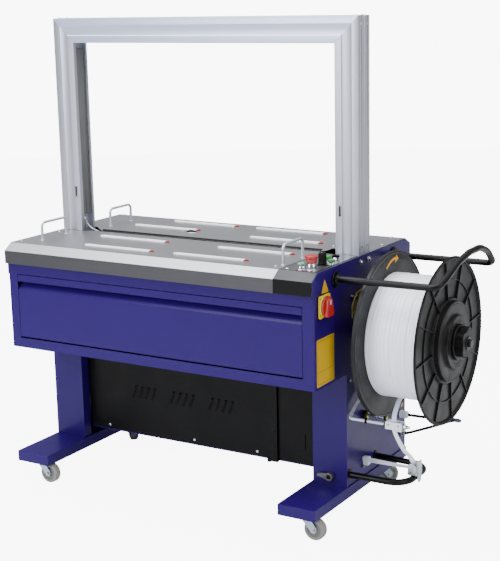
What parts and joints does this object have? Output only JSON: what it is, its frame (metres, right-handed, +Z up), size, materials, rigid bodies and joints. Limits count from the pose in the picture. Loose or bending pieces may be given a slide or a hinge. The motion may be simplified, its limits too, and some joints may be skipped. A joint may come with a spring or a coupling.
{
  "type": "semi automatic strapping machine",
  "caption": "Floor-standing machine on castors with a work table, a strap arch, a control panel and a side-mounted strap reel that ties plastic strap round a package.",
  "frame": {"origin": "floor level, in the middle of the footprint (the bottom centre of the bounding box)", "axes": "+X from the arch towards the strap reel, +Y from the operator towards the back, +Z up"},
  "size_m": [1.417, 0.6374, 1.4525],
  "materials": {
    "blue_paint": "semi-gloss powder coat",
    "black_sheet": "satin powder coat",
    "stainless": "brushed along the length",
    "arch_aluminium": "natural anodised extrusion",
    "track_plastic": "moulded",
    "bright_wire": "bright plated",
    "red_plastic": "moulded gloss",
    "yellow_plastic": "moulded gloss",
    "mint_plastic": "moulded gloss",
    "green_plastic": "moulded gloss",
    "black_plastic": "moulded satin",
    "strap_plastic": "embossed polypropylene",
    "black_tube": "gloss",
    "zinc_steel": "bright zinc plate",
    "yellow_zinc": "yellow passivated zinc plate",
    "white_nylon": "machined nylon",
    "cast_metal": "bare casting",
    "grey_tyre": "grey thermoplastic rubber",
    "motor_paint": "painted housing"
  },
  "bodies": {
    "root": {"left_leg_frame": "blue_paint", "right_leg_frame": "blue_paint", "base_tray": "blue_paint", "main_housing": "blue_paint", "right_side_panel": "blue_paint", "door_hinge_pin": "zinc_steel", "lower_cabinet": "black_sheet", "louvred_cover": "black_sheet", "right_cover": "black_sheet", "column_left_front": "arch_aluminium", "column_left_rear": "arch_aluminium", "column_right_front": "arch_aluminium", "column_right_rear": "arch_aluminium", "arch_top_front": "arch_aluminium", "arch_top_rear": "arch_aluminium", "strap_chute": "stainless", "control_box": "stainless", "main_switch_base": "yellow_plastic", "reel_axle": "zinc_steel", "guard_bar": "black_tube", "lower_guide_tube": "black_tube", "strap_guide_bracket": "cast_metal", "strap_tail": "strap_plastic", "sealing_head": "cast_metal", "drive_motor": "motor_paint"},
    "door": {"front_door": "blue_paint"},
    "front_table": {"table_top_front": "stainless", "handle_front_left": "bright_wire", "handle_front_right": "bright_wire"},
    "rear_table": {"table_top_rear": "stainless", "handle_rear_left": "bright_wire", "handle_rear_right": "bright_wire"},
    "flap_left": {"track_flap_left": "track_plastic"},
    "flap_right": {"track_flap_right": "track_plastic"},
    "flap_top": {"track_flap_top": "track_plastic"},
    "estop": {"estop_button": "red_plastic"},
    "start": {"start_button": "mint_plastic"},
    "speed": {"speed_knob": "black_plastic"},
    "feed": {"feed_button": "green_plastic"},
    "reverse": {"reverse_button": "green_plastic"},
    "main_switch": {"main_switch_knob": "red_plastic"},
    "reel": {"reel_inner_flange": "black_plastic", "strap_coil": "strap_plastic", "reel_outer_flange": "black_plastic"},
    "nut": {"reel_nut": "black_plastic"},
    "brake": {"brake_lever": "yellow_zinc"},
    "arm": {"guide_arm": "zinc_steel", "guide_block": "white_nylon"},
    "latch": {"latch_lever": "cast_metal"},
    "camshaft": {"cam_shaft": "zinc_steel"},
    "roller": {"feed_roller": "white_nylon"},
    "press": {"press_slide": "zinc_steel"},
    "fork_front_left": {"castor_fork_front_left": "zinc_steel"},
    "wheel_front_left": {"castor_wheel_front_left": "grey_tyre"},
    "fork_front_right": {"castor_fork_front_right": "zinc_steel"},
    "wheel_front_right": {"castor_wheel_front_right": "grey_tyre"},
    "fork_rear_left": {"castor_fork_rear_left": "zinc_steel"},
    "wheel_rear_left": {"castor_wheel_rear_left": "grey_tyre"},
    "fork_rear_right": {"castor_fork_rear_right": "zinc_steel"},
    "wheel_rear_right": {"castor_wheel_rear_right": "grey_tyre"}
  },
  "joints": [
    {"name": "door_tilt", "type": "hinge", "parent": "root", "child": "door", "pos_m": [-0.1645, -0.29925, 0.488], "axis": [1, 0, 0], "range_deg": [0, 90]},
    {"name": "front_table_lift", "type": "slide", "parent": "root", "child": "front_table", "axis": [0, 0, 1], "range_m": [0, 0.15]},
    {"name": "rear_table_lift", "type": "slide", "parent": "root", "child": "rear_table", "axis": [0, 0, 1], "range_m": [0, 0.15]},
    {"name": "top_flap_open", "type": "hinge", "parent": "root", "child": "flap_top", "pos_m": [-0.1645, 0.02745, 1.3825], "axis": [1, 0, 0], "range_deg": [0, 20]},
    {"name": "left_flap_open", "type": "hinge", "parent": "root", "child": "flap_left", "pos_m": [-0.634, 0.02745, 1.008], "axis": [0, 0, 1], "range_deg": [0, 20]},
    {"name": "right_flap_open", "type": "hinge", "parent": "root", "child": "flap_right", "pos_m": [0.305, 0.02745, 1.008], "axis": [0, 0, -1], "range_deg": [0, 20]},
    {"name": "estop_press", "type": "slide", "parent": "root", "child": "estop", "axis": [0, 0, -1], "range_m": [0, 0.004]},
    {"name": "start_press", "type": "slide", "parent": "root", "child": "start", "axis": [0, 0, -1], "range_m": [0, 0.003]},
    {"name": "feed_press", "type": "slide", "parent": "root", "child": "feed", "axis": [0, 0, -1], "range_m": [0, 0.003]},
    {"name": "reverse_press", "type": "slide", "parent": "root", "child": "reverse", "axis": [0, 0, -1], "range_m": [0, 0.003]},
    {"name": "speed_turn", "type": "hinge", "parent": "root", "child": "speed", "pos_m": [0.3425, -0.19225, 0.798], "axis": [0, 0, 1], "range_deg": [0, 270]},
    {"name": "main_switch_turn", "type": "hinge", "parent": "root", "child": "main_switch", "pos_m": [0.3905, -0.26025, 0.6795], "axis": [1, 0, 0], "range_deg": [0, 90]},
    {"name": "reel_spin", "type": "hinge", "parent": "root", "child": "reel", "pos_m": [0.5355, 0.00575, 0.548], "axis": [1, 0, 0], "continuous": true},
    {"name": "reel_nut_turn", "type": "hinge", "parent": "reel", "child": "nut", "pos_m": [0.6855, 0.00575, 0.548], "axis": [1, 0, 0], "continuous": true},
    {"name": "guide_arm_swing", "type": "hinge", "parent": "root", "child": "arm", "pos_m": [0.3875, 0.02375, 0.409], "axis": [1, 0, 0], "range_deg": [-10, 25], "deforming": ["strap_tail"]},
    {"name": "brake_lever_turn", "type": "hinge", "parent": "root", "child": "brake", "pos_m": [0.3905, -0.06325, 0.658], "axis": [1, 0, 0], "range_deg": [-3.1, 1.3]},
    {"name": "latch_turn", "type": "hinge", "parent": "root", "child": "latch", "pos_m": [0.3205, -0.12625, 0.127], "axis": [0, 1, 0], "range_deg": [0, 90]},
    {"name": "cam_shaft_turn", "type": "hinge", "parent": "root", "child": "camshaft", "pos_m": [-0.1645, -0.00625, 0.608], "axis": [1, 0, 0], "continuous": true},
    {"name": "feed_roller_turn", "type": "hinge", "parent": "root", "child": "roller", "pos_m": [-0.1645, -0.01425, 0.698], "axis": [1, 0, 0], "continuous": true},
    {"name": "press_rise", "type": "slide", "parent": "root", "child": "press", "axis": [0, 0, 1], "range_m": [0, 0.012]},
    {"name": "castor_swivel_front_left", "type": "hinge", "parent": "root", "child": "fork_front_left", "pos_m": [-0.63, -0.28225, 0.088], "axis": [0, 0, 1], "continuous": true},
    {"name": "castor_roll_front_left", "type": "hinge", "parent": "fork_front_left", "child": "wheel_front_left", "pos_m": [-0.602, -0.28225, 0.0325], "axis": [0, 1, 0], "continuous": true},
    {"name": "castor_swivel_front_right", "type": "hinge", "parent": "root", "child": "fork_front_right", "pos_m": [0.333, -0.28225, 0.088], "axis": [0, 0, 1], "continuous": true},
    {"name": "castor_roll_front_right", "type": "hinge", "parent": "fork_front_right", "child": "wheel_front_right", "pos_m": [0.361, -0.28225, 0.0325], "axis": [0, 1, 0], "continuous": true},
    {"name": "castor_swivel_rear_left", "type": "hinge", "parent": "root", "child": "fork_rear_left", "pos_m": [-0.63, 0.19375, 0.088], "axis": [0, 0, 1], "continuous": true},
    {"name": "castor_roll_rear_left", "type": "hinge", "parent": "fork_rear_left", "child": "wheel_rear_left", "pos_m": [-0.60855, 0.17575, 0.0325], "axis": [0.6428, 0.766, 0], "continuous": true},
    {"name": "castor_swivel_rear_right", "type": "hinge", "parent": "root", "child": "fork_rear_right", "pos_m": [0.333, 0.19375, 0.088], "axis": [0, 0, 1], "continuous": true},
    {"name": "castor_roll_rear_right", "type": "hinge", "parent": "fork_rear_right", "child": "wheel_rear_right", "pos_m": [0.3528, 0.21355, 0.0325], "axis": [-0.7071, 0.7071, 0], "continuous": true}
  ],
  "couplings": [
    {"joint": "left_flap_open", "follows": "top_flap_open", "ratio": 1},
    {"joint": "right_flap_open", "follows": "top_flap_open", "ratio": 1},
    {"joint": "brake_lever_turn", "follows": "guide_arm_swing", "ratio": -0.12}
  ]
}
